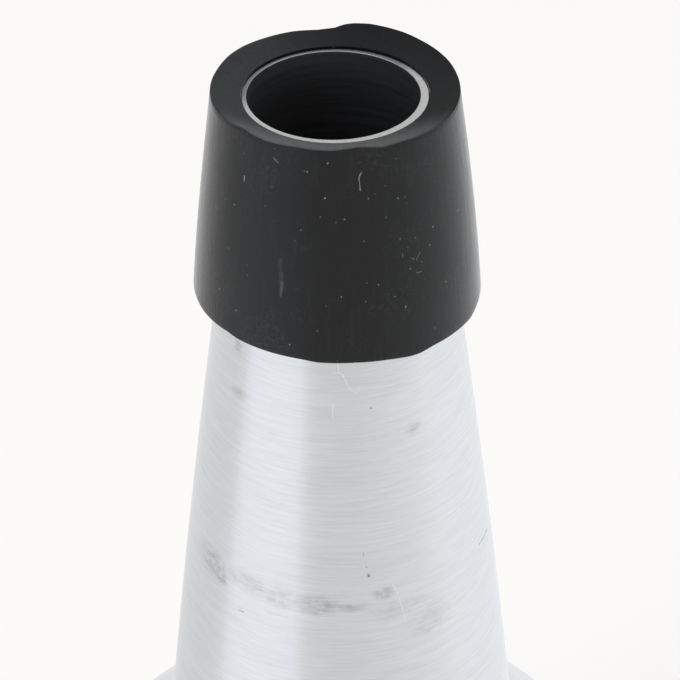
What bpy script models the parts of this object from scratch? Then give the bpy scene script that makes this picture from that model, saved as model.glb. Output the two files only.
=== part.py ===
"""A wah-wah mute for a trumpet: a spun aluminium body with a rubber sleeve on its narrow
end, and a stem with a small bell that slides in a cork-lined socket at the wide end.

Everything is turned about the Z axis. The mute stands on the bell of its stem, whose
foot is at height 0, with the narrow end up. Lengths are in metres. An outline is a list
of (radius, height) points, and each sheet's outline keeps its wall on the left of travel.
"""

import math

import bmesh
import bpy

# Fits between neighbouring pieces
GAP = 0.0003  # between pieces that touch on the real mute
SLIDE_GAP = 0.0004  # round the stem, where the socket's lips let it pass

# Body: the neck with its shoulder is one spinning, and the back of the bulb is another
SHEET = 0.00065  # wall of both spinnings
TIP_RADIUS = 0.0105  # outside of the neck's open end
NECK_BASE_RADIUS = 0.0225  # outside of the neck where it starts to flare
NECK_LENGTH = 0.094
NECK_BOW = 0.00063  # how far the neck's side stands out from a straight line
FLARE_RADIUS = 0.0058  # hollow arc from the neck to the shoulder, in section
SHOULDER_RADIUS = 0.022  # arc of the shoulder's round part, in section
BULB_RADIUS = 0.0385
BACK_HEIGHT = 0.018  # from the flat at the back up to the seam
BACK_FLAT_RADIUS = 0.0172  # edge of the flat that carries the socket

# Lock seam where the two spinnings are folded together
SEAM_BEND = 0.0006
SEAM_FLANGE = 0.0016  # width of the flange inside the fold
SEAM_LAP = 0.0009  # how far the fold's upper leg stays from the bulb's side

# Rubber sleeve that seals the neck in the trumpet's bell
SLEEVE_LENGTH = 0.0254
SLEEVE_TOP_RADIUS = 0.01415
SLEEVE_BASE_RADIUS = 0.01697
SLEEVE_BOW = 0.00017
SLEEVE_OVERHANG = 0.001  # of its outer top edge above the neck's end
SLEEVE_INNER_RISE = 0.0002  # of its inner top edge above the neck's end
SLEEVE_EDGE = 0.0003  # rounding of its two outer edges

# Stem: a tube with a small bell swaged to its outer end
STEM_RADIUS = 0.0095
STEM_WALL = 0.0006
STEM_LENGTH = 0.068
BELL_WALL = 0.0007
BELL_DEPTH = 0.011
BELL_SPREAD = 0.010  # how far the bell's inside flares out from the stem's bore
BELL_FOOT_WIDTH = 0.0012  # flat ring that the mute stands on
BELL_CURL = 0.0014  # outer radius of the curled rim, in section
BELL_CURL_TURN = math.radians(290)
COLLAR_LENGTH = 0.006  # part of the bell that holds the tube
GROOVE_WIDTH = 0.0016  # rolled groove that locks the bell to the tube
GROOVE_DEPTH = 0.0004

# Socket in the back of the bulb, lined with cork to grip the stem
CORK_THICKNESS = 0.0016
SOCKET_WALL = 0.0008
SOCKET_DEPTH = 0.015
SOCKET_LIP = 0.0027  # how far its outer lip covers the bulb's back
SOCKET_BEAD = 0.0011  # how far the swaged bead stands out inside the bulb
SOCKET_BEAD_HEIGHT = 0.001

# Fineness of the turned surfaces
SIDES = 48
NECK_STEPS = 7
ARC_STEPS = 6
BEND_STEPS = 2
CURL_STEPS = 6

# Radii that follow from the sizes above
STEM_BORE = STEM_RADIUS - STEM_WALL
CORK_BORE = STEM_RADIUS + GAP
SOCKET_BORE = CORK_BORE + CORK_THICKNESS + GAP
SOCKET_RADIUS = SOCKET_BORE + SOCKET_WALL
SOCKET_HOLE = SOCKET_RADIUS + GAP
SOCKET_LIP_BORE = STEM_RADIUS + SLIDE_GAP

# Heights above the surface that the mute stands on
TUBE_SEAT = BELL_DEPTH
COLLAR_TOP = TUBE_SEAT + COLLAR_LENGTH
SOCKET_BASE = COLLAR_TOP + GAP
BACK_FACE = SOCKET_BASE + SOCKET_WALL + GAP
SEAM = BACK_FACE + BACK_HEIGHT


def arc(centre, radius, start, end, steps):
    """Points round a centre, from one angle to another, with both ends."""
    points = []
    for step in range(steps + 1):
        angle = start + (end - start) * step / steps
        points.append((centre[0] + radius * math.cos(angle), centre[1] + radius * math.sin(angle)))
    return points


def ellipse(centre, across, up, start, end, steps):
    """Points of an ellipse with half-axes across and up, from one angle to another."""
    unit = arc((0.0, 0.0), 1.0, start, end, steps)
    return [(centre[0] + across * x, centre[1] + up * y) for x, y in unit]


def direction(start, end):
    length = math.dist(start, end)
    return ((end[0] - start[0]) / length, (end[1] - start[1]) / length)


def left_of(line, distance):
    """The line moved to its left by a distance, with mitred corners."""
    moved = []
    for index, point in enumerate(line):
        before = direction(line[max(index - 1, 0)], line[max(index, 1)])
        after = direction(line[min(index, len(line) - 2)], line[min(index + 1, len(line) - 1)])
        across = (-(before[1] + after[1]), before[0] + after[0])
        stretch = distance * 2 / (across[0] ** 2 + across[1] ** 2)
        moved.append((point[0] + across[0] * stretch, point[1] + across[1] * stretch))
    return moved


def sheet(line, wall):
    """The closed outline of sheet metal whose outer face follows the line."""
    return line + left_of(line, wall)[::-1]


def turned(name, outline, material, parent, height):
    """A solid made by turning a closed outline once about the Z axis."""
    shape = bmesh.new()
    corners = [shape.verts.new((radius, 0.0, level)) for radius, level in outline]
    edges = [shape.edges.new((corners[i - 1], corners[i])) for i in range(len(corners))]
    bmesh.ops.spin(
        shape,
        geom=corners + edges,
        cent=(0, 0, 0),
        axis=(0, 0, 1),
        angle=2 * math.pi,
        steps=SIDES,
        use_merge=True,
    )
    bmesh.ops.recalc_face_normals(shape, faces=shape.faces)
    mesh = bpy.data.meshes.new(name)
    shape.to_mesh(mesh)
    shape.free()
    mesh.shade_smooth()
    mesh.set_sharp_from_angle(angle=math.radians(35))
    mesh.materials.append(material)
    piece = bpy.data.objects.new(name, mesh)
    bpy.context.scene.collection.objects.link(piece)
    piece.parent = parent
    piece.location.z = height - parent.location.z
    return piece


def finish(name, colour, roughness, metallic):
    material = bpy.data.materials.new(name)
    material.use_nodes = True
    shader = material.node_tree.nodes["Principled BSDF"]
    shader.inputs["Base Color"].default_value = (*colour, 1.0)
    shader.inputs["Roughness"].default_value = roughness
    shader.inputs["Metallic"].default_value = metallic
    return material


def axis_empty(name, height):
    """An empty on the stem's axis, which carries the pieces that move together."""
    empty = bpy.data.objects.new(name, None)
    bpy.context.scene.collection.objects.link(empty)
    empty.location.z = height
    return empty


def neck_radius(depth):
    """Outside radius of the neck at a depth below its open end."""
    share = depth / NECK_LENGTH
    straight = TIP_RADIUS + (NECK_BASE_RADIUS - TIP_RADIUS) * share
    return straight + 4 * NECK_BOW * share * (1 - share)


def neck_base_lean():
    """Lean of the neck's side from the axis, where it starts to flare."""
    return math.atan((NECK_BASE_RADIUS - TIP_RADIUS - 4 * NECK_BOW) / NECK_LENGTH)


def flare_centre():
    """Centre of the flare's arc, above the seam, where it touches neck and shoulder."""
    centre_radius = NECK_BASE_RADIUS + FLARE_RADIUS * math.cos(neck_base_lean())
    across = centre_radius - (BULB_RADIUS - SHOULDER_RADIUS)
    return centre_radius, math.sqrt((SHOULDER_RADIUS + FLARE_RADIUS) ** 2 - across**2)


def shoulder_lean():
    """Lean of the shoulder's side from the axis, where the flare meets it."""
    return math.asin(flare_centre()[1] / (SHOULDER_RADIUS + FLARE_RADIUS))


def tip_height():
    """Height of the neck's open end above the seam."""
    return flare_centre()[1] - FLARE_RADIUS * math.sin(neck_base_lean()) + NECK_LENGTH


def neck_shell(material, parent):
    """Neck, flare and shoulder in one, from the flange in the seam up to the open end."""
    top = tip_height()
    bend_centre = (BULB_RADIUS + SEAM_BEND, 0.0)
    shoulder_centre = (BULB_RADIUS - SHOULDER_RADIUS, 0.0)
    shoulder_end = shoulder_lean()
    flare_start = math.pi + shoulder_end
    flare_end = math.pi + neck_base_lean()
    line = [(BULB_RADIUS + SEAM_FLANGE, -SEAM_BEND)]
    line += arc(bend_centre, SEAM_BEND, 1.5 * math.pi, math.pi, BEND_STEPS)
    line += arc(shoulder_centre, SHOULDER_RADIUS, 0.0, shoulder_end, ARC_STEPS)[1:]
    line += arc(flare_centre(), FLARE_RADIUS, flare_start, flare_end, ARC_STEPS)[1:]
    for step in range(NECK_STEPS - 1, -1, -1):
        depth = NECK_LENGTH * step / NECK_STEPS
        line.append((neck_radius(depth), top - depth))
    return turned("neck_shell", level_end(sheet(line, SHEET), top), material, parent, SEAM)


def level_end(outline, height):
    """The outline with its two highest corners brought to one height, as a trimmed end."""
    highest = sorted(range(len(outline)), key=lambda i: outline[i][1])[-2:]
    return [(r, height if i in highest else z) for i, (r, z) in enumerate(outline)]


def back_shell(material, parent):
    """Back of the bulb, from the hole for the socket out to the fold over the flange."""
    flange_edge = BULB_RADIUS + SEAM_FLANGE
    flange_middle = BACK_HEIGHT - SEAM_BEND - SHEET / 2
    fold_radius = SHEET / 2 + GAP + SHEET
    side_top = flange_middle - fold_radius - SEAM_BEND
    line = [(SOCKET_HOLE, 0.0)]
    line += ellipse(
        (BACK_FLAT_RADIUS, side_top),
        BULB_RADIUS - BACK_FLAT_RADIUS,
        side_top,
        -0.5 * math.pi,
        0.0,
        ARC_STEPS + 1,
    )
    line += arc(
        (BULB_RADIUS + SEAM_BEND, side_top), SEAM_BEND, math.pi, 0.5 * math.pi, BEND_STEPS
    )[1:]
    line += arc(
        (flange_edge, flange_middle), fold_radius, -0.5 * math.pi, 0.5 * math.pi, CURL_STEPS
    )
    line.append((BULB_RADIUS + SEAM_LAP, flange_middle + fold_radius))
    return turned("back_shell", sheet(line, SHEET), material, parent, BACK_FACE)


def neck_sleeve(material, parent):
    """Rubber sleeve, with its bore on the neck and its outside tapered to suit the bell."""
    base = SLEEVE_OVERHANG - SLEEVE_LENGTH
    outline = []
    for step in range(NECK_STEPS):
        depth = -base * (1 - step / (NECK_STEPS - 1))
        outline.append((neck_radius(depth) + GAP, -depth))
    outline.append((TIP_RADIUS + GAP, SLEEVE_INNER_RISE))
    outline.append((SLEEVE_TOP_RADIUS - SLEEVE_EDGE, SLEEVE_OVERHANG))
    for step in range(ARC_STEPS + 1):
        share = step / ARC_STEPS
        radius = SLEEVE_TOP_RADIUS + (SLEEVE_BASE_RADIUS - SLEEVE_TOP_RADIUS) * share
        radius += 4 * SLEEVE_BOW * share * (1 - share)
        height = SLEEVE_OVERHANG - SLEEVE_EDGE - (SLEEVE_LENGTH - 2 * SLEEVE_EDGE) * share
        outline.append((radius, height))
    outline.append((SLEEVE_BASE_RADIUS - SLEEVE_EDGE, base))
    return turned("neck_sleeve", outline, material, parent, SEAM + tip_height())


def stem_socket(material, parent):
    """Drawn socket: a lip outside the bulb, a swaged bead inside, and both ends turned in."""
    shell_top = SOCKET_WALL + GAP + SHEET + GAP
    bead_top = shell_top + SOCKET_BEAD_HEIGHT
    roof = SOCKET_DEPTH - SOCKET_WALL
    outline = [
        (SOCKET_LIP_BORE, 0.0),
        (SOCKET_RADIUS + SOCKET_LIP, 0.0),
        (SOCKET_RADIUS + SOCKET_LIP, SOCKET_WALL),
        (SOCKET_RADIUS, SOCKET_WALL),
        (SOCKET_RADIUS, shell_top),
        (SOCKET_RADIUS + SOCKET_BEAD, shell_top),
        (SOCKET_RADIUS + SOCKET_BEAD, bead_top),
        (SOCKET_RADIUS, bead_top + SOCKET_BEAD),
        (SOCKET_RADIUS, SOCKET_DEPTH),
        (SOCKET_LIP_BORE, SOCKET_DEPTH),
        (SOCKET_LIP_BORE, roof),
        (SOCKET_BORE, roof),
        (SOCKET_BORE, SOCKET_WALL),
        (SOCKET_LIP_BORE, SOCKET_WALL),
    ]
    return turned("stem_socket", outline, material, parent, SOCKET_BASE)


def socket_cork(material, parent):
    """Cork ring that lines the socket between its turned-in ends."""
    height = SOCKET_DEPTH - 2 * (SOCKET_WALL + GAP)
    outer = CORK_BORE + CORK_THICKNESS
    outline = [(CORK_BORE, 0.0), (outer, 0.0), (outer, height), (CORK_BORE, height)]
    return turned("socket_cork", outline, material, parent, SOCKET_BASE + SOCKET_WALL + GAP)


def groove(radius):
    """Side of a tube at the locking groove, from above the tube's lower end upwards."""
    middle = COLLAR_LENGTH / 2
    half = GROOVE_WIDTH / 2
    return [
        (radius, middle - half),
        (radius - GROOVE_DEPTH, middle),
        (radius, middle + half),
    ]


def stem_tube(material, parent):
    """Stem, from its seat in the bell up into the bulb."""
    line = [(STEM_RADIUS, GAP)] + groove(STEM_RADIUS) + [(STEM_RADIUS, STEM_LENGTH)]
    return turned("stem_tube", sheet(line, STEM_WALL), material, parent, TUBE_SEAT)


def stem_bell(material, parent):
    """Bell on the stem, with the collar that holds the tube, a flare and a curled rim."""
    bore = STEM_RADIUS + GAP
    collar = [(bore, COLLAR_TOP)]
    collar += [(radius, TUBE_SEAT + height) for radius, height in reversed(groove(bore))]
    collar.append((bore, TUBE_SEAT))
    mouth = ellipse(
        (STEM_BORE + BELL_SPREAD, BELL_DEPTH),
        BELL_SPREAD,
        BELL_DEPTH,
        math.pi,
        1.5 * math.pi,
        ARC_STEPS + 2,
    )
    rim_centre = (STEM_BORE + BELL_SPREAD + BELL_FOOT_WIDTH, BELL_CURL)
    start = -0.5 * math.pi
    rim = arc(rim_centre, BELL_CURL, start, start + BELL_CURL_TURN, CURL_STEPS + 2)
    inside = collar + mouth + rim
    return turned("stem_bell", sheet(inside, BELL_WALL), material, parent, 0.0)


def main():
    for thing in list(bpy.data.objects):
        bpy.data.objects.remove(thing)

    spun = finish("spun_aluminium", (0.78, 0.79, 0.80), 0.34, 1.0)
    drawn = finish("drawn_aluminium", (0.72, 0.73, 0.74), 0.28, 1.0)
    rubber = finish("black_rubber", (0.030, 0.031, 0.033), 0.62, 0.0)
    cork = finish("cork", (0.42, 0.27, 0.15), 0.85, 0.0)

    stem = axis_empty("stem", 0.0)
    stem_bell(drawn, stem)
    stem_tube(drawn, stem)

    body = axis_empty("mute_body", SOCKET_BASE)
    back_shell(spun, body)
    neck_shell(spun, body)
    neck_sleeve(rubber, body)
    stem_socket(drawn, body)
    socket_cork(cork, body)


main()
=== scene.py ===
"""The finished surfaces of a wah-wah mute for a trumpet, with a small studio round it.

The mute stands on the bell of its stem, with the neck's open end up. Every piece is turned
about the Z axis, in metres, and stands in for the plainer solid of the same place. The front
is the side that faces along -Y, where the camera stands.
"""

import math

import bmesh
import bpy
from mathutils import Matrix, Vector, noise


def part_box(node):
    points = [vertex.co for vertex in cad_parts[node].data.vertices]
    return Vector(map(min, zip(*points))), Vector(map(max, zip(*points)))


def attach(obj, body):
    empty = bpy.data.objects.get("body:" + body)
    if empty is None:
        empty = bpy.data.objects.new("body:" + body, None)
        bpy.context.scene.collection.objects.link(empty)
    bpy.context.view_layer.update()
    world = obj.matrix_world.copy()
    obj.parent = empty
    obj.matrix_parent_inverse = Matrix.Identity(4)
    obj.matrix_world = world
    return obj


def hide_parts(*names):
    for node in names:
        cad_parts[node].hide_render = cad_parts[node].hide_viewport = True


bl_info = {
    "name": "Wah-wah mute",
    "version": (1, 0, 0),
    "blender": (4, 5, 0),
    "location": "View3D > Sidebar > Mute",
    "description": "Makes the finished surfaces of a trumpet mute and a small studio",
    "category": "Object",
}

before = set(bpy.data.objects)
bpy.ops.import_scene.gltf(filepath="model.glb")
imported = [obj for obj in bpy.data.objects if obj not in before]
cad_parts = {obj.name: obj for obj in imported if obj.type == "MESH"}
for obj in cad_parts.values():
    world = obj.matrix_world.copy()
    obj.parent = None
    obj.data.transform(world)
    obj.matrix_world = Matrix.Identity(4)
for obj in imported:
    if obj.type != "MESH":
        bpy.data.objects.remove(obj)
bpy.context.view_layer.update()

# Heights that come from the frame
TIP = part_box("neck_shell")[1][2]
SLEEVE_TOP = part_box("neck_sleeve")[1][2]
SLEEVE_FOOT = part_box("neck_sleeve")[0][2]
BACK_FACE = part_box("back_shell")[0][2]
SOCKET_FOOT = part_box("stem_socket")[0][2]
SOCKET_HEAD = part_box("stem_socket")[1][2]
STEM_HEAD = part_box("stem_tube")[1][2]
COLLAR_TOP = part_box("stem_bell")[1][2]

# Space between faces that touch on the real mute
GAP = 0.0003

# Neck and bulb. NECK_BOW is how far the neck's side stands out from a straight one.
SHEET = 0.00065
SHEET_EDGE = 0.00012
TIP_RADIUS = 0.0105
NECK_BASE_RADIUS = 0.0225
NECK_LENGTH = 0.094
NECK_BOW = 0.00063
FLARE_RADIUS = 0.0058
SHOULDER_RADIUS = 0.022
BULB_RADIUS = 0.0385
BACK_HEIGHT = 0.018
BACK_FLAT_RADIUS = 0.0172
SEAM = BACK_FACE + BACK_HEIGHT
SEAM_BEND = 0.0006
SEAM_FLANGE = 0.0016
SEAM_LAP = 0.0009

# The neck's cut end. It rises towards the back, over TIP_SKEW_DEPTH. Its bore lies RIM_SHIFT off
# the axis, which leaves more metal on the right, and its outer edge is spread by RIM_FLARE.
RIM_DEPTH = 0.00045
TIP_LIFT = 0.0001
TIP_SKEW = 0.0003
TIP_SKEW_DEPTH = 0.002
RIM_SHIFT = 0.00022
RIM_SHIFT_TURN = 20.0
RIM_FLARE = 0.00016
RIM_FLARE_DEPTH = 0.0005

# Rubber sleeve. Its top face is dished, and INNER_EDGE is how far its bore's upper edge stands
# above the neck. The knife moved both ends of it within CUT_REACH of the edge.
SLEEVE_TOP_RADIUS = 0.01415
SLEEVE_BASE_RADIUS = 0.01697
SLEEVE_BOW = 0.00017
SLEEVE_FIT = 0.00012
SLEEVE_DISH = 1.4
SLEEVE_EDGE = 0.0001
INNER_EDGE = 0.0002
INNER_EDGE_SKEW = 0.00055
OUTER_EDGE = 0.00015
FOOT_INSET = 0.0002
CUT_REACH = 0.004
WOBBLE = 0.00006
WOBBLE_RATE = 90
WOBBLE_RATE_UP = 60

# Stem and its bell
STEM_RADIUS = 0.0095
STEM_WALL = 0.0006
STEM_EDGE = 0.00015
BELL_WALL = 0.0007
BELL_DEPTH = 0.011
BELL_SPREAD = 0.010
BELL_FOOT_WIDTH = 0.0012
BELL_CURL = 0.0014
BELL_CURL_TURN = math.radians(290)
COLLAR_LENGTH = 0.006
GROOVE_WIDTH = 0.0016
GROOVE_DEPTH = 0.0004

# Socket and its cork
SOCKET_BORE = 0.0117
SOCKET_WALL = 0.0008
SOCKET_LIP = 0.0027
SOCKET_LIP_BORE = 0.0099
SOCKET_BEAD = 0.0011
SOCKET_BEAD_HEIGHT = 0.001
SOCKET_EDGE = 0.00025
CORK_BORE = 0.0098
CORK_RADIUS = 0.0114
CORK_EDGE = 0.0003

# The knife's wander along the sleeve's two edges: (angle from the front, rise) in degrees and mm
FOOT_CUTS = (
    (-180, -0.3), (-140, -0.4), (-104, -0.3), (-75, -0.15), (-66, -0.25), (-60, -0.2),
    (-48, -0.1), (-43, -0.3), (-21, -0.42), (-14, -0.5), (-8, -0.72), (7, -0.79), (20, -1.03),
    (30, -1.41), (34, -1.46), (41, -1.22), (56, -1.33), (66, -1.5), (74, -1.2), (110, -0.7),
    (145, -0.3),
)
TOP_CUTS = (
    (-180, 0.3), (-176, 0.2), (-172, 0.12), (-168, 0.18), (-160, 0.34), (-145, 0.44),
    (-130, 0.62), (-120, 0.64), (-107, 0.4), (-90, 0.3), (-64, 0.3), (-54, 0.6), (-46, 0.85),
    (-40, 0.6), (-33, 0.4), (-17, 0.5), (-11, 0.4), (-1, 0.36), (5, 0.55), (10, 0.68), (16, 0.44),
    (21, 0.2), (30, 0.3), (45, 0.12), (70, 0.06), (100, 0.3), (113, 0.6), (135, 0.83),
    (145, 1.02), (163, 1.15), (171, 1.0), (175, 0.8), (179, 0.42),
)

# Wear on the front, in mm to the right of the axis and below the neck's end.
# Rubbed-in dirt on the neck: (right, down, half width, half height, strength)
SMUDGES = (
    (-15.3, 58.9, 1.9, 2.2, 0.7), (-14.6, 60.2, 0.9, 0.7, 0.9), (-11.0, 58.4, 3.0, 1.7, 0.55),
    (-7.4, 58.9, 2.4, 2.0, 0.5), (-3.0, 59.2, 3.2, 1.5, 0.9), (1.0, 59.4, 3.0, 0.7, 0.7),
    (5.2, 58.0, 1.5, 0.9, 0.9), (10.8, 63.5, 3.2, 2.6, 0.35), (7.0, 60.5, 4.0, 1.6, 0.3),
    (-11.6, 28.0, 0.5, 1.2, 0.5), (-11.5, 33.8, 1.0, 0.9, 0.6), (8.6, 36.8, 1.0, 1.0, 0.5),
)
# Marks on the neck: (points along the mark, width, strength)
DARK_MARKS = (
    (((3.42, 55.0), (3.46, 55.2)), 0.26, 0.8), (((3.19, 53.92),), 0.17, 0.55),
    (((2.73, 51.9), (2.8, 52.3)), 0.13, 0.4), (((3.76, 32.82),), 0.17, 0.8),
    (((-12.32, 62.91), (-11.7, 62.83)), 0.14, 0.5), (((-8.74, 61.45), (-6.32, 61.53)), 0.1, 0.2),
    (((9.33, 64.3), (10.82, 65.28)), 0.35, 0.2), (((18.18, 59.07), (17.03, 58.75)), 0.12, 0.8),
    (((6.9, 58.1), (7.98, 62.6)), 0.1, 0.2),
)
PALE_MARKS = (
    (((6.17, 56.96), (6.84, 58.06), (7.9, 62.66)), 0.09, 0.8),
    (((-0.06, 26.2), (0.05, 27.91), (0.56, 28.2), (0.93, 29.23), (1.44, 30.26), (2.08, 30.6),
      (2.46, 30.41)), 0.1, 0.9),
    (((-0.63, 32.06), (-0.65, 33.64)), 0.1, 0.9), (((0.05, 27.91), (-0.5, 28.1)), 0.1, 0.7),
)
# Dust and lint on the sleeve: (points along the mark, width, strength)
DUST = (
    (((-1.31, 4.38),), 0.16, 0.5), (((-4.01, 8.54),), 0.13, 0.4), (((0.49, 16.53),), 0.13, 0.7),
    (((4.66, 15.34),), 0.12, 0.6), (((6.5, 17.34),), 0.12, 0.6), (((7.68, 18.97),), 0.13, 0.6),
    (((10.86, 10.54),), 0.13, 0.6), (((6.87, 5.38),), 0.13, 0.5), (((3.57, 4.73),), 0.12, 0.3),
    (((-11.38, 7.96),), 0.12, 0.4), (((-12.5, 7.92),), 0.12, 0.3), (((-1.77, 6.74),), 0.12, 0.2),
    (((0.88, 7.01),), 0.15, 0.3), (((3.03, 9.76),), 0.12, 0.3), (((10.53, 12.5),), 0.12, 0.4),
    (((7.08, 10.36),), 0.1, 0.3), (((8.71, 10.79),), 0.1, 0.3), (((3.19, 17.25),), 0.12, 0.3),
    (((-11.61, 20.88),), 0.14, 0.4), (((-13.43, 19.57),), 0.14, 0.3),
    (((-5.36, 23.07),), 0.12, 0.5), (((12.43, 18.14),), 0.12, 0.4), (((13.64, 10.69),), 0.12, 0.5),
    (((-7.07, 3.97),), 0.12, 0.3), (((-6.77, 0.5), (-6.4, 0.9)), 0.14, 0.2),
    (((-3.2, 1.47),), 0.16, 0.3), (((-0.92, 0.26),), 0.16, 0.4),
    (((-10.17, 3.78), (-10.19, 4.49)), 0.09, 0.5),
    (((2.76, 1.5), (2.57, 2.2), (2.55, 2.9), (2.73, 3.58)), 0.09, 0.45),
    (((7.35, 12.2), (7.3, 12.7)), 0.09, 0.2), (((8.3, 13.2), (8.7, 13.5)), 0.09, 0.15),
    (((9.3, 12.9), (9.0, 13.7)), 0.09, 0.2), (((8.9, 15.2), (9.4, 15.3)), 0.09, 0.2),
    (((9.6, 14.1),), 0.12, 0.25), (((8.2, 14.4),), 0.1, 0.2), (((7.9, 11.6),), 0.1, 0.2),
    (((-6.35, 12.6), (-6.3, 17.0)), 0.34, 0.035), (((-6.1, 14.2), (-6.05, 16.2)), 0.2, 0.04),
    (((-6.22, 15.3), (-6.3, 16.9)), 0.26, 0.12),
)
# Pale colour of the dust, which on the sleeve's top face also carries painted light
DUST_AND_LIGHT_COLOUR = (0.62, 0.63, 0.64)

# The studio's panels as the metal shows them: (angle from the front, shade, blue cast)
PANELS = (
    (-180, 0.84, 0.0), (-150, 0.76, 0.0), (-138, 0.7, 0.0), (-110, 0.65, 0.01),
    (-88, 0.655, 0.03), (-80, 0.83, 0.06), (-52, 0.83, 0.06), (-31, 0.82, 0.05),
    (-26, 0.67, 0.01), (-15, 0.64, 0.0), (7, 0.635, 0.0), (29, 0.66, 0.01), (57, 0.71, 0.03),
    (80, 0.8, 0.04), (138, 0.83, 0.04), (180, 0.84, 0.0),
)
PANEL_LEVEL = 1.2
FLOOR_LEVEL = 1.03
FLOOR_SHARE = 0.6
BACKDROP_COLOUR = (0.98, 0.985, 0.985)
WORLD_LEVEL = 0.5

# The camera's place, and in degrees how far it looks down and leans
CAMERA_PLACE = (0.00026, -0.2866, TIP + 0.1622)
CAMERA_DOWN = 34.31
CAMERA_LEAN = -0.58
LAMP_TARGET = (0.0, 0.0, 0.1)


def colour_setting(name, description, default):
    """A colour that the user can change."""
    return bpy.props.FloatVectorProperty(
        name=name, description=description, subtype="COLOR", default=default
    )


class MuteSizes(bpy.types.PropertyGroup):
    """Fineness of the turned pieces and wear of the sleeve's edges."""

    sides: bpy.props.IntProperty(
        name="Sides", description="Facets once round each turned piece", default=224, min=48
    )
    edge_wander: bpy.props.FloatProperty(
        name="Edge wander",
        description="How strongly the hand-cut edges of the sleeve wander",
        subtype="FACTOR",
        default=1.0,
        min=0.0,
        soft_max=2.0,
    )


class MuteColours(bpy.types.PropertyGroup):
    """Colours of the mute's materials."""

    aluminium: colour_setting(
        "Spun aluminium", "Colour of the neck, the bulb and the stem", (0.80, 0.806, 0.82)
    )
    smudge: colour_setting(
        "Smudge", "Colour of the rubbed-in dirt on the neck", (0.34, 0.34, 0.335)
    )
    rubber: colour_setting("Rubber", "Colour of the sleeve", (0.0026, 0.0028, 0.0034))
    cork: colour_setting("Cork", "Colour of the socket's lining", (0.42, 0.27, 0.15))


class StudioSettings(bpy.types.PropertyGroup):
    """Floor, light and camera."""

    floor: colour_setting("Floor", "Colour of the floor", (0.972, 0.962, 0.949))
    light: bpy.props.FloatProperty(
        name="Light",
        description="Level of all the lamps together",
        subtype="FACTOR",
        default=1.0,
        min=0.0,
        soft_max=2.0,
    )
    lens: bpy.props.FloatProperty(
        name="Lens", description="Focal length of the camera", unit="CAMERA", default=153.5
    )


class Value:
    """A node's output, on which Python's operators add Math nodes."""

    def __init__(self, nodes, socket):
        self.nodes = nodes
        self.socket = socket

    def math(self, operation, *others, clamp=False):
        """A Math node that takes this value first."""
        settings = {"operation": operation, "use_clamp": clamp}
        return self.nodes.node("ShaderNodeMath", settings, dict(enumerate((self, *others))))

    def __add__(self, other):
        return self.math("ADD", other)

    def __sub__(self, other):
        return self.math("SUBTRACT", other)

    def __rsub__(self, other):
        return self * -1.0 + other

    def __mul__(self, other):
        return self.math("MULTIPLY", other)

    def __truediv__(self, other):
        return self.math("DIVIDE", other)

    __radd__ = __add__
    __rmul__ = __mul__

    def between(self, low, high):
        """0 at low and below, 1 at high and above, smooth in between."""
        settings = {"interpolation_type": "SMOOTHSTEP"}
        return self.nodes.node("ShaderNodeMapRange", settings, {0: self, 1: low, 2: high})

    def other(self, output):
        """Another output of the same node."""
        return Value(self.nodes, self.socket.node.outputs[output])


class Nodes:
    """A node tree under construction, with one method that adds any node."""

    def __init__(self, tree):
        self.tree = tree

    def node(self, kind, settings=None, inputs=None, output=0):
        """A new node, whose settings come first and then its values and links."""
        node = self.tree.nodes.new(kind)
        for key, setting in (settings or {}).items():
            if key == "stops":
                self.stops(node.color_ramp.elements, setting)
            else:
                setattr(node, key, setting)
        for key, item in (inputs or {}).items():
            self.put(node.inputs[key], item)
        return Value(self, node.outputs[output])

    def stops(self, elements, stops):
        """Set the stops of a new ramp, which has two of its own to begin with."""
        for index, (position, colour) in enumerate(stops):
            stop = elements[index] if index < 2 else elements.new(position)
            stop.position = position
            stop.color = (*colour, 1.0)

    def put(self, socket, item):
        """Link a value to a socket, or set the socket to a number or a colour."""
        if isinstance(item, Value):
            self.tree.links.new(item.socket, socket)
        else:
            socket.default_value = item

    def parts(self, place):
        """The x, y and z of a point or a direction."""
        x = self.node("ShaderNodeSeparateXYZ", inputs={0: place})
        return x, x.other(1), x.other(2)

    def blend(self, factor, first, second):
        """A colour between two colours."""
        ends = [item if isinstance(item, Value) else (*item, 1.0) for item in (first, second)]
        inputs = {"Factor": factor, 6: ends[0], 7: ends[1]}
        return self.node("ShaderNodeMix", {"data_type": "RGBA"}, inputs, output=2)


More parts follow.
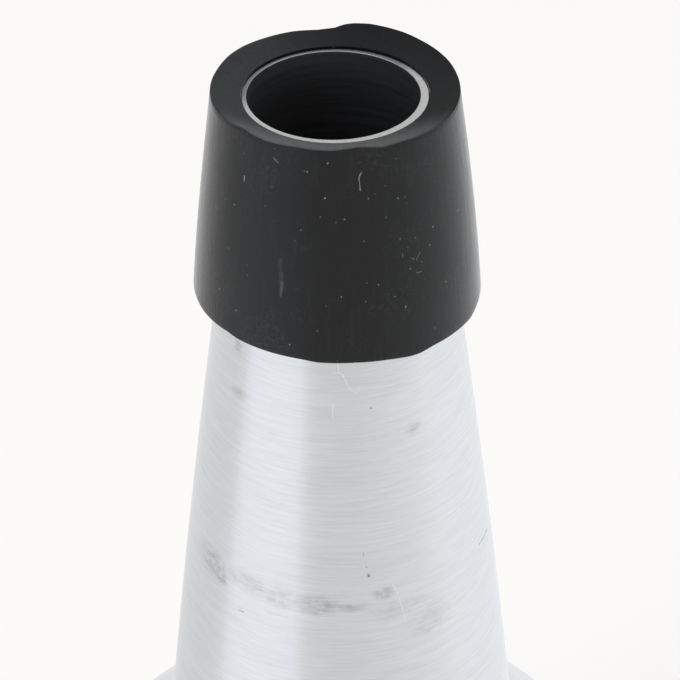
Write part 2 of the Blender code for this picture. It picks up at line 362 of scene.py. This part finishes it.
class Finish(Nodes):
    """A material under construction."""

    def __init__(self, name):
        self.material = bpy.data.materials.new(name)
        self.material.use_nodes = True
        super().__init__(self.material.node_tree)
        self.shader = self.tree.nodes["Principled BSDF"]

    def surface(self, **inputs):
        """The material, with what its shader's sockets are given."""
        for key, item in inputs.items():
            self.put(self.shader.inputs[key.replace("_", " ")], item)
        return self.material

    def place(self):
        """The point on the piece, in metres."""
        return self.node("ShaderNodeTexCoord", output="Object")

    def vectors(self, operation, *items, output="Vector"):
        """A Vector Math node, whose output "Value" is the number that some of them give."""
        settings = {"operation": operation}
        return self.node("ShaderNodeVectorMath", settings, dict(enumerate(items)), output)

    def stretched(self, place, scale):
        """The point, scaled along X, Y and Z."""
        return self.vectors("MULTIPLY", place, scale)

    def grain(self, place, across, up, detail=3.0, roughness=0.5, output=0):
        """Noise about 0.5, with so many waves to the metre across the axis and up it."""
        inputs = {
            "Vector": self.stretched(place, (across, across, up)),
            "Scale": 1.0,
            "Detail": detail,
            "Roughness": roughness,
        }
        return self.node("ShaderNodeTexNoise", inputs=inputs, output=output)

    def bump(self, height, distance):
        """The normal of a surface with a fine relief."""
        return self.node("ShaderNodeBump", inputs={"Height": height, "Distance": distance})

    def on_front(self, place):
        """The point in mm to the right of the axis and below the neck's end, and 1 on the front.

        A little noise in the point makes the marks drawn there uneven.
        """
        flat = self.vectors("SUBTRACT", place, (0.0, 0.0, TIP))
        flat = self.stretched(flat, (1000.0, 0.0, -1000.0))
        wander = self.grain(place, 1100.0, 1100.0, detail=2.0, output="Color")
        shift = self.vectors("SUBTRACT", wander, (0.5, 0.5, 0.5))
        flat = self.vectors("ADD", flat, self.stretched(shift, (0.5, 0.0, 0.5)))
        y = self.parts(place)[1]
        return flat, 1.0 - y.between(-0.002, 0.0)

    def marks(self, flat, table):
        """Strength of the marks drawn along short lines on the front."""
        total = None
        for points, width, strength in table:
            spots = [(right, 0.0, down) for right, down in points]
            for begin, end in zip(spots, spots[1:] or spots):
                nearest = begin
                if end != begin:
                    along = Vector(end) - Vector(begin)
                    ahead = self.vectors("SUBTRACT", flat, begin)
                    share = self.vectors("DOT_PRODUCT", ahead, tuple(along), output="Value")
                    share = share.math("DIVIDE", along.length_squared, clamp=True)
                    nearest = self.vectors("MULTIPLY_ADD", share, tuple(along), begin)
                away = self.vectors("DISTANCE", flat, nearest, output="Value")
                mark = (1.0 - away.between(0.2 * width, width)) * strength
                total = mark if total is None else total.math("MAXIMUM", mark)
        return total

    def patches(self, flat, table):
        """Strength of the soft oval patches on the front."""
        total = None
        for right, down, wide, high, strength in table:
            ahead = self.vectors("SUBTRACT", flat, (right, 0.0, down))
            inside = self.stretched(ahead, (1 / wide, 0.0, 1 / high))
            away = self.vectors("LENGTH", inside, output="Value")
            patch = (1.0 - away.between(0.2, 1.25)) * strength
            total = patch if total is None else total.math("MAXIMUM", patch)
        return total


def shade(colour, factor):
    """A darker or a lighter colour."""
    return tuple(min(1.0, factor * channel) for channel in colour)


def brushed_aluminium(colours):
    """Aluminium brushed round and round on the lathe, with smudges and small scratches."""
    finish = Finish("brushed_aluminium")
    place = finish.place()
    fine = finish.grain(place, 200.0, 3300.0, detail=3.0, roughness=0.65)
    coarse = finish.grain(place, 90.0, 900.0, detail=3.0)
    mottle = finish.grain(place, 900.0, 1500.0, detail=4.0, roughness=0.6)
    brushed = (fine - 0.5) * 1.35 + (coarse - 0.5) * 0.45
    tone = (0.5 + brushed * 0.5).math("MULTIPLY", 1.0, clamp=True)
    metal = finish.blend(tone, shade(colours.aluminium, 0.78), shade(colours.aluminium, 1.22))
    flat, front = finish.on_front(place)
    dirt = finish.patches(flat, SMUDGES) * mottle.between(0.22, 0.68) * (1.0 - brushed * 1.6)
    dark = finish.marks(flat, DARK_MARKS) * (0.6 + mottle * 0.8)
    soiled = (dirt * 0.62).math("MAXIMUM", dark) * front
    metal = finish.blend(soiled.math("MINIMUM", 0.9), metal, colours.smudge)
    pale = finish.marks(flat, PALE_MARKS) * front * (mottle * 1.5)
    return finish.surface(
        Base_Color=finish.blend(pale, metal, (1.0, 1.0, 1.0)),
        Metallic=1.0,
        Roughness=0.32 + brushed * 0.10 + soiled * 0.15,
        Anisotropic=0.85,
        Anisotropic_Rotation=0.25,
        Normal=finish.bump(brushed, 0.00001),
    )


def dark_finish_and_shade_inside():
    """The dark inside of the spinnings, with faint turning rings: partly a dark finish and partly
    painted shade of the deep hollow.
    """
    finish = Finish("dark_finish_and_shade_inside")
    rings = finish.grain(finish.place(), 60.0, 1700.0, detail=4.0)
    metal = finish.blend(rings.between(0.3, 0.8), (0.06, 0.062, 0.066), (0.092, 0.094, 0.102))
    return finish.surface(
        Base_Color=metal,
        Metallic=0.6,
        Roughness=0.5,
        Normal=finish.bump(rings, 0.00001),
    )


def satin_aluminium(colours):
    """Smooth satin aluminium of the socket and the stem."""
    finish = Finish("satin_aluminium")
    place = finish.place()
    lines = finish.grain(place, 50.0, 2600.0, detail=3.0)
    cloud = finish.grain(place, 220.0, 220.0, detail=4.0)
    dull, bright = shade(colours.aluminium, 0.86), shade(colours.aluminium, 0.97)
    return finish.surface(
        Base_Color=finish.blend(cloud.between(0.35, 0.7), dull, bright),
        Metallic=1.0,
        Roughness=0.24 + cloud * 0.14,
        Normal=finish.bump(lines, 0.000006),
    )


def cut_rim():
    """Lathe-cut metal of the neck's open end, with a painted dark reflection of the sleeve on its
    back part, all but the burr inside.
    """
    finish = Finish("cut_rim")
    place = finish.place()
    x, y = finish.parts(place)[:2]
    cut = finish.grain(place, 2500.0, 2500.0, detail=3.0)
    radius = (x * x + y * y).math("SQRT")
    # 1 where the bore's shift leaves the most metal, as in the neck's shape
    side = (x * 0.94 - y * 0.34) / radius
    inside = radius + side * RIM_SHIFT - (TIP_RADIUS - SHEET)
    burr = 1.0 - inside.between(0.00003, 0.00012)
    # Painted dark reflection of the sleeve: the back of the rim is blended towards a bluish dark
    # grey, all but the burr
    dark = (y * 0.9 - x * 0.35).between(-0.0005, 0.0045) * (1.0 - burr)
    metal = finish.blend(cut, (0.34, 0.345, 0.34), (0.60, 0.605, 0.59))
    return finish.surface(
        Base_Color=finish.blend(dark * 0.9, metal, (0.12, 0.138, 0.165)),
        Metallic=1.0,
        Roughness=0.26 + cut * 0.16,
        Normal=finish.bump(cut, 0.00001),
    )


def dusty_rubber(colours):
    """Black rubber with fine grinding streaks, dust and a little lint."""
    finish = Finish("dusty_rubber")
    place = finish.place()
    streaks = finish.grain(place, 1500.0, 45.0, detail=4.0, roughness=0.6)
    skin = finish.grain(place, 2600.0, 2600.0, detail=2.0)
    cloud = finish.grain(place, 160.0, 160.0, detail=3.0)
    cells = finish.node(
        "ShaderNodeTexVoronoi",
        inputs={"Vector": finish.stretched(place, (900.0, 900.0, 900.0)), "Scale": 1.0},
    )
    chance = finish.node("ShaderNodeSeparateColor", inputs={0: cells.other("Color")})
    specks = ((chance - 0.62) * 0.5 - cells).between(0.0, 0.06)
    flat, front = finish.on_front(place)
    haze = cloud.between(0.45, 0.75) * skin.between(0.45, 0.75)
    dust = specks * 0.08 + haze * 0.035 + streaks.between(0.5, 0.8) * 0.012
    dust = dust + finish.marks(flat, DUST) * front * (streaks + skin) * 0.9
    return finish.surface(
        Base_Color=finish.blend(dust, colours.rubber, DUST_AND_LIGHT_COLOUR),
        Roughness=0.30 + (streaks - 0.5) * 0.35,
        Specular_IOR_Level=0.36,
        Sheen_Weight=0.7,
        Sheen_Roughness=0.3,
        Normal=finish.bump(streaks * 0.7 + skin * 0.3, 0.00003),
    )


def cut_rubber(colours):
    """The knife-cut top face of the sleeve, with a little dust, and paler towards the front and
    the left with painted light.
    """
    finish = Finish("cut_rubber")
    place = finish.place()
    x, y = finish.parts(place)[:2]
    grain = finish.grain(place, 1500.0, 1500.0, detail=4.0, roughness=0.7)
    # Painted light: the face is paler towards the front and the left; it is added to the dust
    # below
    painted_front_light = (y * -1.0).between(0.004, 0.0125) * 0.12 + (x * -1.0).between(0.0, 0.012) * 0.035
    dust = (0.009 + painted_front_light) * (0.55 + grain * 0.9)
    return finish.surface(
        Base_Color=finish.blend(dust, colours.rubber, DUST_AND_LIGHT_COLOUR),
        Roughness=0.75,
        Specular_IOR_Level=0.2,
        Normal=finish.bump(grain, 0.00006),
    )


def grained_cork(colours):
    """Cork, with its lighter and darker grains."""
    finish = Finish("grained_cork")
    grains = finish.grain(finish.place(), 900.0, 900.0, detail=4.0)
    dark, light = shade(colours.cork, 0.55), shade(colours.cork, 1.2)
    return finish.surface(
        Base_Color=finish.blend(grains.between(0.35, 0.65), dark, light),
        Roughness=0.85,
        Normal=finish.bump(grains, 0.0002),
    )


def panels(nodes, x, y):
    """Colour of the studio's panels in the direction of a point, seen from above."""
    round_about = x.math("ARCTAN2", y * -1.0) / (2 * math.pi) + 0.5
    stops = [
        (angle / 360.0 + 0.5, (level, level * (1.0 + 0.5 * blue), level * (1.0 + blue)))
        for angle, level, blue in PANELS
    ]
    return nodes.node("ShaderNodeValToRGB", {"stops": stops}, {0: round_about})


def white_floor(colour):
    """Pale floor, which shows in the metal as the panels beside it."""
    finish = Finish("white_floor")
    finish.surface(Base_Color=(*colour, 1.0), Roughness=0.9, Specular_IOR_Level=0.1)
    seen = finish.node("ShaderNodeLightPath", output="Is Camera Ray")
    glossy = seen.other("Is Glossy Ray")
    through = seen.other("Is Transmission Ray")
    x, y = finish.parts(finish.place())[:2]
    glow = {
        "Color": finish.blend(glossy, colour, panels(finish, x, y)),
        "Strength": FLOOR_LEVEL + glossy * (PANEL_LEVEL - FLOOR_LEVEL),
    }
    mixed = {
        0: (seen + through) * FLOOR_SHARE + glossy,
        1: Value(finish, finish.shader.outputs[0]),
        2: finish.node("ShaderNodeEmission", inputs=glow),
    }
    output = finish.tree.nodes["Material Output"]
    finish.put(output.inputs["Surface"], finish.node("ShaderNodeMixShader", inputs=mixed))
    return finish.material


def studio_world(level):
    """Plain light all round, which shows in the metal as the studio's panels."""
    world = bpy.data.worlds.new("studio")
    world.use_nodes = True
    nodes = Nodes(world.node_tree)
    x, y = nodes.parts(nodes.node("ShaderNodeTexCoord", output="Generated"))[:2]
    seen = nodes.node("ShaderNodeLightPath", output="Is Camera Ray")
    glossy = seen.other("Is Glossy Ray")
    seen = (seen + seen.other("Is Transmission Ray")).math("MULTIPLY", 1.0, clamp=True)
    strength = seen + glossy * PANEL_LEVEL + (1.0 - (seen + glossy)) * level
    background = nodes.tree.nodes["Background"]
    colour = nodes.blend(glossy, BACKDROP_COLOUR, panels(nodes, x, y))
    nodes.put(background.inputs["Color"], colour)
    nodes.put(background.inputs["Strength"], strength)
    return world


def material(make, *args):
    """The material that a function makes, made when it is first asked for."""
    return bpy.data.materials.get(make.__name__) or make(*args)


def arc(centre, radius, start, end, steps):
    """Points round a centre, from one angle to another, with both ends."""
    return ellipse(centre, radius, radius, start, end, steps)


def ellipse(centre, across, up, start, end, steps):
    """Points along an ellipse, from one angle to another, with both ends."""
    points = []
    for step in range(steps + 1):
        angle = start + (end - start) * step / steps
        points.append((centre[0] + across * math.cos(angle), centre[1] + up * math.sin(angle)))
    return points


def bowed(start, end, bow, share):
    """Radius at a share of the way along a side that bows out in its middle."""
    return start + (end - start) * share + 4 * bow * share * (1 - share)


def direction(start, end):
    """The unit step from one point towards another."""
    length = math.dist(start, end)
    return ((end[0] - start[0]) / length, (end[1] - start[1]) / length)


def left_of(line, distance):
    """The line moved to its left by a distance, with mitred corners."""
    moved = []
    for index, point in enumerate(line):
        before = direction(line[max(index - 1, 0)], line[max(index, 1)])
        after = direction(line[min(index, len(line) - 2)], line[min(index + 1, len(line) - 1)])
        across = (-(before[1] + after[1]), before[0] + after[0])
        stretch = distance * 2 / (across[0] ** 2 + across[1] ** 2)
        moved.append((point[0] + across[0] * stretch, point[1] + across[1] * stretch))
    return moved


def sheet(line, wall):
    """The closed outline of sheet metal whose outer face follows the line."""
    return line + left_of(line, wall)[::-1]


def softened(outline, size, sharp=math.radians(50)):
    """The outline with a small round in three steps on each sharp corner."""
    points = []
    for index, point in enumerate(outline):
        before = outline[index - 1]
        after = outline[(index + 1) % len(outline)]
        came = direction(before, point)
        goes = direction(point, after)
        turn = math.acos(max(-1.0, min(1.0, came[0] * goes[0] + came[1] * goes[1])))
        if turn < sharp:
            points.append(point)
            continue
        reach = min(size, 0.4 * math.dist(before, point), 0.4 * math.dist(point, after))
        start = (point[0] - came[0] * reach, point[1] - came[1] * reach)
        end = (point[0] + goes[0] * reach, point[1] + goes[1] * reach)
        for share in (0.0, 0.33, 0.67, 1.0):
            first = [start[i] + (point[i] - start[i]) * share for i in (0, 1)]
            second = [point[i] + (end[i] - point[i]) * share for i in (0, 1)]
            points.append(tuple(first[i] + (second[i] - first[i]) * share for i in (0, 1)))
    return points


def turned(outline, sides):
    """A mesh made by turning a closed outline once about the Z axis."""
    shape = bmesh.new()
    corners = [shape.verts.new((radius, 0.0, height)) for radius, height in outline]
    edges = [shape.edges.new((corners[i - 1], corners[i])) for i in range(len(corners))]
    bmesh.ops.spin(
        shape,
        geom=corners + edges,
        cent=(0, 0, 0),
        axis=(0, 0, 1),
        angle=2 * math.pi,
        steps=sides,
        use_merge=True,
    )
    bmesh.ops.recalc_face_normals(shape, faces=shape.faces)
    return shape


def placed(name, shape, body, nodes, slot, *materials):
    """Finish a piece, which moves with its body and stands in for its nodes."""
    mesh = bpy.data.meshes.new(name)
    shape.to_mesh(mesh)
    shape.free()
    mesh.shade_smooth()
    mesh.set_sharp_from_angle(angle=math.radians(40))
    for item in materials:
        mesh.materials.append(item)
    piece = bpy.data.objects.new(name, mesh)
    bpy.context.scene.collection.objects.link(piece)
    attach(piece, body)
    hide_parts(*nodes)


def neck_radius(depth):
    """Outside radius of the neck at a depth below its open end."""
    return bowed(TIP_RADIUS, NECK_BASE_RADIUS, NECK_BOW, depth / NECK_LENGTH)


def knife_rise(cuts, angle):
    """Rise in metres of a hand-cut edge at an angle from the front in degrees."""
    angle = (angle + 180.0) % 360.0 - 180.0
    for index, (start, rise) in enumerate(cuts):
        end, next_rise = cuts[(index + 1) % len(cuts)]
        end += 360.0 if end <= start else 0.0
        if start <= angle < end:
            return 0.001 * (rise + (next_rise - rise) * (angle - start) / (end - start))
    return 0.0


def front_angle(point):
    """Angle of a point from the front, in degrees, to the right seen from the front."""
    return math.degrees(math.atan2(point.x, -point.y))


def backward(point):
    """0 at the front and 1 at the back."""
    return 0.5 - 0.5 * math.cos(math.radians(front_angle(point)))


def within(value):
    """The value, kept between 0 and 1."""
    return max(0.0, min(1.0, value))


def widen(vertex, scale):
    """Move a vertex away from the Z axis, to so many times its distance."""
    vertex.co.x *= scale
    vertex.co.y *= scale


class MUTE_OT_neck(bpy.types.Operator):
    """Spin the neck with its flare and shoulder"""

    bl_idname = "mute.neck"
    bl_label = "Neck"

    def outline(self):
        """Section of the sheet, from the seam's flange up to the open end."""
        base_lean = math.atan((NECK_BASE_RADIUS - TIP_RADIUS - 4 * NECK_BOW) / NECK_LENGTH)
        shoulder = (BULB_RADIUS - SHOULDER_RADIUS, SEAM)
        flare_across = NECK_BASE_RADIUS + FLARE_RADIUS * math.cos(base_lean)
        reach = SHOULDER_RADIUS + FLARE_RADIUS
        flare = (flare_across, SEAM + math.sqrt(reach**2 - (flare_across - shoulder[0]) ** 2))
        lean = math.asin((flare[1] - SEAM) / reach)
        bend = (BULB_RADIUS + SEAM_BEND, SEAM)
        line = [(BULB_RADIUS + SEAM_FLANGE, SEAM - SEAM_BEND)]
        line += arc(bend, SEAM_BEND, 1.5 * math.pi, math.pi, steps=5)
        line += arc(shoulder, SHOULDER_RADIUS, 0.0, lean, steps=30)[1:]
        line += arc(flare, FLARE_RADIUS, math.pi + lean, math.pi + base_lean, steps=16)[1:]
        steps = 60
        for step in range(steps - 1, -1, -1):
            depth = NECK_LENGTH * step / steps
            line.append((neck_radius(depth), TIP - depth))
        outline = sheet(line, SHEET)
        inner_tip = len(line)
        outline[inner_tip] = (outline[inner_tip][0], TIP)
        return softened(outline, SHEET_EDGE)

    def cut(self, shape):
        """Raise the end towards the back, shift its bore and spread its outer edge."""
        for vertex in shape.verts:
            radius = math.hypot(vertex.co.x, vertex.co.y)
            near_tip = max(0.0, (vertex.co.z - TIP) / TIP_SKEW_DEPTH + 1.0)
            vertex.co.z += (TIP_LIFT + TIP_SKEW * backward(vertex.co)) * near_tip
            if near_tip > 0.9 and radius < TIP_RADIUS - SHEET / 2:
                side = math.sin(math.radians(front_angle(vertex.co) + RIM_SHIFT_TURN))
                widen(vertex, 1.0 - RIM_SHIFT * side / radius)
            elif near_tip > 0.9:
                widen(vertex, 1.0 + RIM_FLARE / radius)

    def execute(self, context):
        shape = turned(self.outline(), context.scene.mute_sizes.sides)
        for face in shape.faces:
            middle = face.calc_center_median()
            out = Vector((middle.x, middle.y, 0.0)).normalized()
            if middle.z > TIP - RIM_DEPTH and face.normal.z > 0.1:
                face.material_index = 2
            elif face.normal.dot(out) < -0.02:
                face.material_index = 1
        self.cut(shape)
        placed(
            "neck",
            shape,
            "mute_body",
            ["neck_shell"],
            "spun_aluminium",
            material(brushed_aluminium, context.scene.mute_colours),
            material(dark_finish_and_shade_inside),
            material(cut_rim),
        )
        return {"FINISHED"}


class MUTE_OT_back(bpy.types.Operator):
    """Spin the back of the bulb with the fold of the seam"""

    bl_idname = "mute.back"
    bl_label = "Back of the bulb"

    def outline(self):
        """Section of the sheet, from the socket's hole up to the end of the fold."""
        flange = SEAM - SEAM_BEND - SHEET / 2
        fold = SHEET / 2 + GAP + SHEET
        side_top = flange - fold - SEAM_BEND
        line = [(SOCKET_BORE + SOCKET_WALL + GAP, BACK_FACE)]
        line += ellipse(
            (BACK_FLAT_RADIUS, side_top),
            BULB_RADIUS - BACK_FLAT_RADIUS,
            side_top - BACK_FACE,
            -0.5 * math.pi,
            0.0,
            steps=36,
        )
        bend = (BULB_RADIUS + SEAM_BEND, side_top)
        line += arc(bend, SEAM_BEND, math.pi, 0.5 * math.pi, steps=5)[1:]
        edge = (BULB_RADIUS + SEAM_FLANGE, flange)
        line += arc(edge, fold, -0.5 * math.pi, 0.5 * math.pi, steps=16)
        line.append((BULB_RADIUS + SEAM_LAP, flange + fold))
        return softened(sheet(line, SHEET), SHEET_EDGE)

    def execute(self, context):
        shape = turned(self.outline(), context.scene.mute_sizes.sides)
        for face in shape.faces:
            middle = face.calc_center_median()
            radius = math.hypot(middle.x, middle.y)
            if face.normal.z > 0.02 and radius < BULB_RADIUS - SHEET / 2:
                face.material_index = 1
        placed(
            "bulb_back",
            shape,
            "mute_body",
            ["back_shell"],
            "spun_aluminium",
            material(brushed_aluminium, context.scene.mute_colours),
            material(dark_finish_and_shade_inside),
        )
        return {"FINISHED"}


class MUTE_OT_sleeve(bpy.types.Operator):
    """Make the rubber sleeve with its hand-cut edges"""

    bl_idname = "mute.sleeve"
    bl_label = "Rubber sleeve"

    def outline(self):
        """Section of the sleeve: its bore, its dished top face and its bowed side."""
        points = []
        inner_top = TIP + INNER_EDGE
        for step in range(25):
            height = SLEEVE_FOOT + (inner_top - SLEEVE_FOOT) * step / 24
            points.append((neck_radius(TIP - height) + SLEEVE_FIT, height))
        top_in = TIP_RADIUS + SLEEVE_FIT
        top_out = SLEEVE_TOP_RADIUS - OUTER_EDGE
        for step in range(1, 9):
            share = step / 8
            height = inner_top + (SLEEVE_TOP - inner_top) * share**SLEEVE_DISH
            points.append((top_in + (top_out - top_in) * share, height))
        length = SLEEVE_TOP - SLEEVE_FOOT - 2 * OUTER_EDGE
        for step in range(41):
            share = step / 40
            radius = bowed(SLEEVE_TOP_RADIUS, SLEEVE_BASE_RADIUS, SLEEVE_BOW, share)
            points.append((radius, SLEEVE_TOP - OUTER_EDGE - length * share))
        points.append((SLEEVE_BASE_RADIUS - FOOT_INSET, SLEEVE_FOOT))
        return softened(points, SLEEVE_EDGE)

    def cut(self, shape, wander):
        """Give the edges the knife's wander, and keep the bore on the neck."""
        top_in = TIP_RADIUS + SLEEVE_FIT
        for vertex in shape.verts:
            angle = front_angle(vertex.co)
            radius = math.hypot(vertex.co.x, vertex.co.y)
            outward = within((radius - top_in) / (SLEEVE_TOP_RADIUS - top_in))
            up = max(0.0, (vertex.co.z - (SLEEVE_TOP - CUT_REACH)) / CUT_REACH)
            down = max(0.0, ((SLEEVE_FOOT + CUT_REACH) - vertex.co.z) / CUT_REACH)
            on_neck = radius < neck_radius(TIP - vertex.co.z) + 2 * SLEEVE_FIT
            rise = knife_rise(TOP_CUTS, angle) * up * outward
            rise += knife_rise(FOOT_CUTS, angle) * down
            rise += INNER_EDGE_SKEW * backward(vertex.co) * up * (1.0 - outward)
            vertex.co.z += rise * wander
            if on_neck:
                flare = RIM_FLARE * within((vertex.co.z - TIP) / RIM_FLARE_DEPTH + 1.5)
                widen(vertex, (neck_radius(TIP - vertex.co.z) + SLEEVE_FIT + flare) / radius)
            spot = (
                vertex.co.x * WOBBLE_RATE,
                vertex.co.y * WOBBLE_RATE,
                vertex.co.z * WOBBLE_RATE_UP,
            )
            widen(vertex, 1.0 + WOBBLE * noise.noise(Vector(spot)) * outward / radius)

    def execute(self, context):
        sizes = context.scene.mute_sizes
        shape = turned(self.outline(), sizes.sides)
        self.cut(shape, sizes.edge_wander)
        for face in shape.faces:
            if face.calc_center_median().z > TIP and face.normal.z > 0.5:
                face.material_index = 1
        placed(
            "sleeve",
            shape,
            "mute_body",
            ["neck_sleeve"],
            "black_rubber",
            material(dusty_rubber, context.scene.mute_colours),
            material(cut_rubber, context.scene.mute_colours),
        )
        return {"FINISHED"}


class MUTE_OT_socket(bpy.types.Operator):
    """Make the stem's socket and its cork lining"""

    bl_idname = "mute.socket"
    bl_label = "Socket and cork"

    def execute(self, context):
        sides = context.scene.mute_sizes.sides
        colours = context.scene.mute_colours
        radius = SOCKET_BORE + SOCKET_WALL
        shell_top = SOCKET_FOOT + SOCKET_WALL + GAP + SHEET + GAP
        bead_top = shell_top + SOCKET_BEAD_HEIGHT
        outline = [
            (SOCKET_LIP_BORE, SOCKET_FOOT),
            (radius + SOCKET_LIP, SOCKET_FOOT),
            (radius + SOCKET_LIP, SOCKET_FOOT + SOCKET_WALL),
            (radius, SOCKET_FOOT + SOCKET_WALL),
            (radius, shell_top),
            (radius + SOCKET_BEAD, shell_top),
            (radius + SOCKET_BEAD, bead_top),
            (radius, bead_top + SOCKET_BEAD),
            (radius, SOCKET_HEAD),
            (SOCKET_LIP_BORE, SOCKET_HEAD),
            (SOCKET_LIP_BORE, SOCKET_HEAD - SOCKET_WALL),
            (SOCKET_BORE, SOCKET_HEAD - SOCKET_WALL),
            (SOCKET_BORE, SOCKET_FOOT + SOCKET_WALL),
            (SOCKET_LIP_BORE, SOCKET_FOOT + SOCKET_WALL),
        ]
        placed(
            "socket",
            turned(softened(outline, SOCKET_EDGE), sides),
            "mute_body",
            ["stem_socket"],
            "drawn_aluminium",
            material(satin_aluminium, colours),
        )
        low = SOCKET_FOOT + SOCKET_WALL + GAP
        high = SOCKET_HEAD - SOCKET_WALL - GAP
        lining = [(CORK_BORE, low), (CORK_RADIUS, low), (CORK_RADIUS, high), (CORK_BORE, high)]
        placed(
            "cork_ring",
            turned(softened(lining, CORK_EDGE), sides),
            "mute_body",
            ["socket_cork"],
            "cork",
            material(grained_cork, colours),
        )
        return {"FINISHED"}


class MUTE_OT_stem(bpy.types.Operator):
    """Make the stem's tube and its bell with the curled rim"""

    bl_idname = "mute.stem"
    bl_label = "Stem"

    def groove(self, radius):
        """Side of a tube at the locking groove, from its lower edge upwards."""
        middle = BELL_DEPTH + COLLAR_LENGTH / 2
        points = []
        for step in range(-8, 9):
            share = step / 8
            depth = GROOVE_DEPTH * 0.5 * (1 + math.cos(math.pi * share))
            points.append((radius - depth, middle + GROOVE_WIDTH / 2 * share))
        return points

    def execute(self, context):
        sides = context.scene.mute_sizes.sides
        metal = material(satin_aluminium, context.scene.mute_colours)
        line = [(STEM_RADIUS, BELL_DEPTH + GAP)] + self.groove(STEM_RADIUS)
        line += [(STEM_RADIUS, BELL_DEPTH + COLLAR_LENGTH + 0.001), (STEM_RADIUS, STEM_HEAD)]
        tube = turned(softened(sheet(line, STEM_WALL), STEM_EDGE), sides)
        placed("stem_pipe", tube, "stem", ["stem_tube"], "drawn_aluminium", metal)

        bore = STEM_RADIUS + GAP
        bell_edge = STEM_RADIUS - STEM_WALL + BELL_SPREAD
        inside = [(bore, COLLAR_TOP)] + self.groove(bore)[::-1] + [(bore, BELL_DEPTH)]
        throat = (bell_edge, BELL_DEPTH)
        inside += ellipse(throat, BELL_SPREAD, BELL_DEPTH, math.pi, 1.5 * math.pi, steps=32)
        rim = (bell_edge + BELL_FOOT_WIDTH, BELL_CURL)
        start = -0.5 * math.pi
        inside += arc(rim, BELL_CURL, start, start + BELL_CURL_TURN, steps=32)
        bell = turned(softened(sheet(inside, BELL_WALL), STEM_EDGE), sides)
        placed("stem_flare", bell, "stem", ["stem_bell"], "drawn_aluminium", metal)
        return {"FINISHED"}


class MUTE_OT_studio(bpy.types.Operator):
    """Set up the pale floor, the soft lamps and the camera"""

    bl_idname = "mute.studio"
    bl_label = "Studio"

    def floor(self, colour):
        """A wide round floor under the mute, most of it behind."""
        shape = bmesh.new()
        bmesh.ops.create_circle(shape, cap_ends=True, segments=96, radius=1.4)
        bmesh.ops.translate(shape, verts=shape.verts, vec=(0.0, 1.25, 0.0))
        mesh = bpy.data.meshes.new("floor")
        shape.to_mesh(mesh)
        shape.free()
        mesh.materials.append(white_floor(colour))
        floor = bpy.data.objects.new("floor", mesh)
        bpy.context.scene.collection.objects.link(floor)

    def lamp(self, name, place, size, power, colour=(1.0, 1.0, 1.0)):
        """A soft lamp that faces the mute and leaves no reflection in it."""
        light = bpy.data.lights.new(name, "AREA")
        light.shape = "RECTANGLE"
        light.size, light.size_y = size
        light.energy = power
        light.color = colour
        lamp = bpy.data.objects.new(name, light)
        lamp.visible_glossy = False
        bpy.context.scene.collection.objects.link(lamp)
        turn = (Vector(LAMP_TARGET) - Vector(place)).to_track_quat("-Z", "Y").to_matrix()
        lamp.matrix_world = Matrix.Translation(place) @ turn.to_4x4()

    def camera(self, lens):
        """The camera, above the front of the mute."""
        data = bpy.data.cameras.new("camera")
        data.lens = lens
        data.sensor_width = 36.0
        data.clip_start = 0.01
        camera = bpy.data.objects.new("camera", data)
        bpy.context.scene.collection.objects.link(camera)
        turn = Matrix.Rotation(math.radians(90 - CAMERA_DOWN), 4, "X")
        lean = Matrix.Rotation(math.radians(CAMERA_LEAN), 4, "Z")
        camera.matrix_world = Matrix.Translation(CAMERA_PLACE) @ turn @ lean
        return camera

    def execute(self, context):
        settings = context.scene.mute_studio
        level = settings.light
        self.floor(settings.floor)
        context.scene.world = studio_world(WORLD_LEVEL * level)
        self.lamp("window", (-0.85, -0.75, 0.75), (0.55, 1.1), 5.8 * level, (0.93, 0.96, 1.0))
        self.lamp("fill", (1.1, -0.35, 0.7), (0.6, 1.0), 3.0 * level)
        self.lamp("top", (0.0, 0.4, 1.5), (1.2, 1.2), 7.5 * level)
        context.scene.camera = self.camera(settings.lens)
        context.scene.view_settings.view_transform = "Standard"
        return {"FINISHED"}


class MUTE_PT_panel(bpy.types.Panel):
    """The mute's pieces, sizes and colours"""

    bl_idname = "MUTE_PT_panel"
    bl_label = "Mute"
    bl_space_type = "VIEW_3D"
    bl_region_type = "UI"
    bl_category = "Mute"

    def draw(self, context):
        scene = context.scene
        for settings in (scene.mute_sizes, scene.mute_colours, scene.mute_studio):
            for key in settings.__annotations__:
                self.layout.prop(settings, key)
        for operator in OPERATORS:
            self.layout.operator(operator.bl_idname)


GROUPS = {"mute_sizes": MuteSizes, "mute_colours": MuteColours, "mute_studio": StudioSettings}
OPERATORS = (
    MUTE_OT_neck,
    MUTE_OT_back,
    MUTE_OT_sleeve,
    MUTE_OT_socket,
    MUTE_OT_stem,
    MUTE_OT_studio,
)
CLASSES = (*GROUPS.values(), *OPERATORS, MUTE_PT_panel)


def register():
    for item in CLASSES:
        bpy.utils.register_class(item)
    for name, group in GROUPS.items():
        setattr(bpy.types.Scene, name, bpy.props.PointerProperty(type=group))


def unregister():
    for name in GROUPS:
        delattr(bpy.types.Scene, name)
    for item in reversed(CLASSES):
        bpy.utils.unregister_class(item)


def main():
    register()
    bpy.ops.mute.neck()
    bpy.ops.mute.back()
    bpy.ops.mute.sleeve()
    bpy.ops.mute.socket()
    bpy.ops.mute.stem()
    bpy.ops.mute.studio()


if __name__ == "__main__":
    main()
